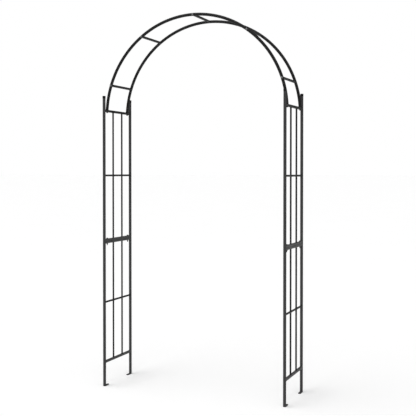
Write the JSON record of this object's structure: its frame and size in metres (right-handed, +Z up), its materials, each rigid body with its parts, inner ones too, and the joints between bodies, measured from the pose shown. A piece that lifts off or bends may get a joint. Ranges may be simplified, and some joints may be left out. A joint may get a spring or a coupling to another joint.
{
  "type": "trellis arch",
  "caption": "Garden trellis arch: ladder-like side panels on flat feet, joined over a walkway by round hoops with crossbars.",
  "frame": {"origin": "on the ground in the middle of the arch, halfway between the two side panels and halfway between front and rear posts", "axes": "+Z up; X runs across the walkway from the left panel to the right panel; Y runs along the walkway, with the front at -Y"},
  "size_m": [1.253, 0.377, 2.401],
  "materials": {
    "powder_coated_steel": "charcoal powder coat on the posts, feet, bottom rails and joint rails, fine texture, semi-matt",
    "dark_coated_steel": "darker charcoal powder coat on the rods, rungs, hoops, crossbars and top rails, fine texture, semi-matt",
    "black_plastic": "satin black",
    "black_zinc_steel": "black zinc plated"
  },
  "bodies": {
    "root": {"foot_plate_front_left": "powder_coated_steel", "foot_plate_rear_left": "powder_coated_steel", "foot_plate_front_right": "powder_coated_steel", "foot_plate_rear_right": "powder_coated_steel", "lower_post_front_left": "powder_coated_steel", "lower_post_rear_left": "powder_coated_steel", "lower_post_front_right": "powder_coated_steel", "lower_post_rear_right": "powder_coated_steel", "upper_post_front_left": "powder_coated_steel", "upper_post_rear_left": "powder_coated_steel", "upper_post_front_right": "powder_coated_steel", "upper_post_rear_right": "powder_coated_steel", "bottom_rail_left": "powder_coated_steel", "bottom_rail_right": "powder_coated_steel", "lower_joint_rail_left": "powder_coated_steel", "lower_joint_rail_right": "powder_coated_steel", "upper_joint_rail_left": "powder_coated_steel", "upper_joint_rail_right": "powder_coated_steel", "top_rail_left": "dark_coated_steel", "top_rail_right": "dark_coated_steel", "lower_rung_left": "dark_coated_steel", "lower_rung_right": "dark_coated_steel", "upper_rung_left": "dark_coated_steel", "upper_rung_right": "dark_coated_steel", "lower_rod_front_bottom_left": "dark_coated_steel", "lower_rod_front_top_left": "dark_coated_steel", "lower_rod_rear_bottom_left": "dark_coated_steel", "lower_rod_rear_top_left": "dark_coated_steel", "lower_rod_front_bottom_right": "dark_coated_steel", "lower_rod_front_top_right": "dark_coated_steel", "lower_rod_rear_bottom_right": "dark_coated_steel", "lower_rod_rear_top_right": "dark_coated_steel", "upper_rod_front_bottom_left": "dark_coated_steel", "upper_rod_front_top_left": "dark_coated_steel", "upper_rod_rear_bottom_left": "dark_coated_steel", "upper_rod_rear_top_left": "dark_coated_steel", "upper_rod_front_bottom_right": "dark_coated_steel", "upper_rod_front_top_right": "dark_coated_steel", "upper_rod_rear_bottom_right": "dark_coated_steel", "upper_rod_rear_top_right": "dark_coated_steel", "hoop_front_left": "dark_coated_steel", "hoop_rear_left": "dark_coated_steel", "hoop_front_right": "dark_coated_steel", "hoop_rear_right": "dark_coated_steel", "hoop_sleeve_front": "dark_coated_steel", "hoop_sleeve_rear": "dark_coated_steel", "crossbar_low_right": "dark_coated_steel", "crossbar_high_right": "dark_coated_steel", "crossbar_crown": "dark_coated_steel", "crossbar_high_left": "dark_coated_steel", "crossbar_low_left": "dark_coated_steel", "post_caps": "black_plastic", "joint_bolts": "black_zinc_steel", "joint_nuts": "black_zinc_steel", "washers": "black_zinc_steel", "hoop_bolts": "black_zinc_steel", "hoop_foot_plugs": "black_zinc_steel", "crossbar_screws": "black_zinc_steel", "crossbar_inserts": "black_zinc_steel", "saddle_washers": "black_zinc_steel"}
  },
  "joints": []
}
